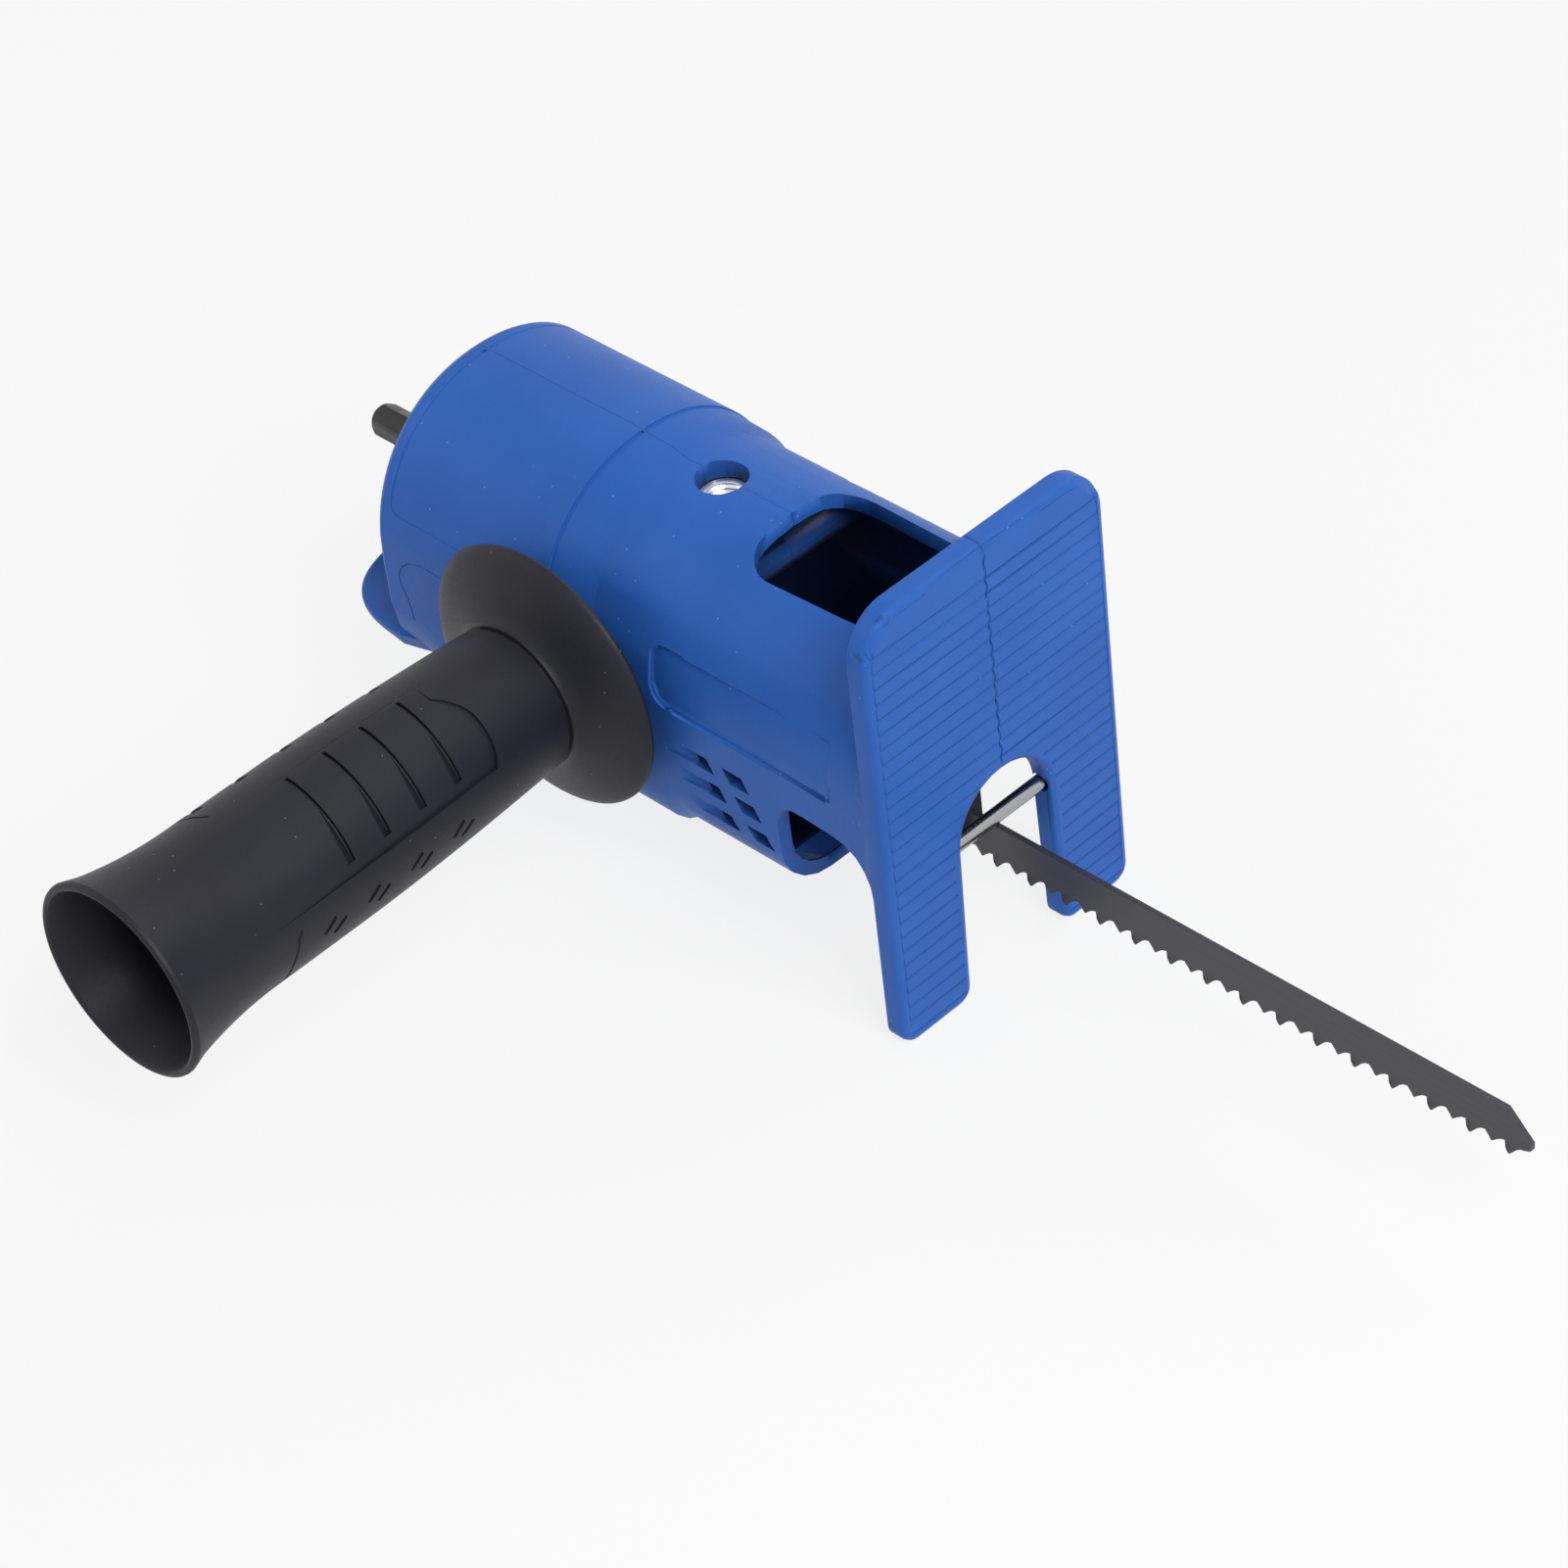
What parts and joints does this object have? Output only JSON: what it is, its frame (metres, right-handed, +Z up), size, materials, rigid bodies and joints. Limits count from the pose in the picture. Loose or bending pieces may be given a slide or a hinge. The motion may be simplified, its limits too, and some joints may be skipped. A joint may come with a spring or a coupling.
{
  "type": "drill-powered reciprocating saw",
  "caption": "Reciprocating saw attachment with a hex drive shank, split housing, wobble drive, sliding blade, slotted shoe and a screw-in side handle.",
  "frame": {"origin": "centre of the hex shank's rear end face, on the drive axis", "axes": "+X forward along the drive axis to the blade tip, +Y to the tool's left, +Z up; the side handle points to -Y"},
  "size_m": [0.2881, 0.1731, 0.0983],
  "materials": {
    "blue_plastic": "fine moulded texture, mid blue",
    "handle_plastic": "matt charcoal, moulded grip pattern",
    "black_oxide": "black oxide",
    "blade_steel": "dark grey coated steel",
    "bright_steel": "ground",
    "zinc_plate": "bright zinc plate",
    "screw_steel": "plain steel",
    "bronze": "sintered bronze"
  },
  "bodies": {
    "housing": {"housing_left": "blue_plastic", "housing_right": "blue_plastic", "housing_screw_1": "screw_steel", "housing_screw_2": "screw_steel", "housing_screw_3": "screw_steel", "housing_screw_4": "screw_steel", "guide_pin": "bright_steel", "rear_bearing_outer_race": "bright_steel", "front_bearing_outer_race": "bright_steel", "rear_bush": "bronze", "front_bush": "bronze", "top_nut": "zinc_plate", "left_nut": "zinc_plate", "right_nut": "zinc_plate", "handle_grip": "handle_plastic", "handle_bolt": "zinc_plate"},
    "shaft": {"drive_shaft": "black_oxide", "wobble_hub": "screw_steel", "hub_set_screw": "screw_steel", "hub_clip": "screw_steel", "rear_bearing_inner_race": "bright_steel", "front_bearing_inner_race": "bright_steel", "wobble_inner_race": "bright_steel"},
    "wobble": {"wobble_ring": "screw_steel", "wobble_outer_race": "bright_steel"},
    "blade": {"slide_rod": "bright_steel", "cross_pin": "bright_steel", "blade_clamp": "black_oxide", "clamp_screw_1": "screw_steel", "clamp_screw_2": "screw_steel", "saw_blade": "blade_steel"}
  },
  "joints": [
    {"name": "shaft_spin", "type": "hinge", "parent": "housing", "child": "shaft", "pos_m": [0.064, 0, 0], "axis": [1, 0, 0], "continuous": true},
    {"name": "ring_wobble", "type": "hinge", "parent": "shaft", "child": "wobble", "pos_m": [0.064, 0, 0], "axis": [0.9397, 0.342, 0], "continuous": true},
    {"name": "blade_slide", "type": "slide", "parent": "housing", "child": "blade", "axis": [1, 0, 0], "range_m": [-0.00735, 0.00735]}
  ],
  "couplings": [
    {"joint": "ring_wobble", "follows": "shaft_spin", "ratio": -1}
  ]
}
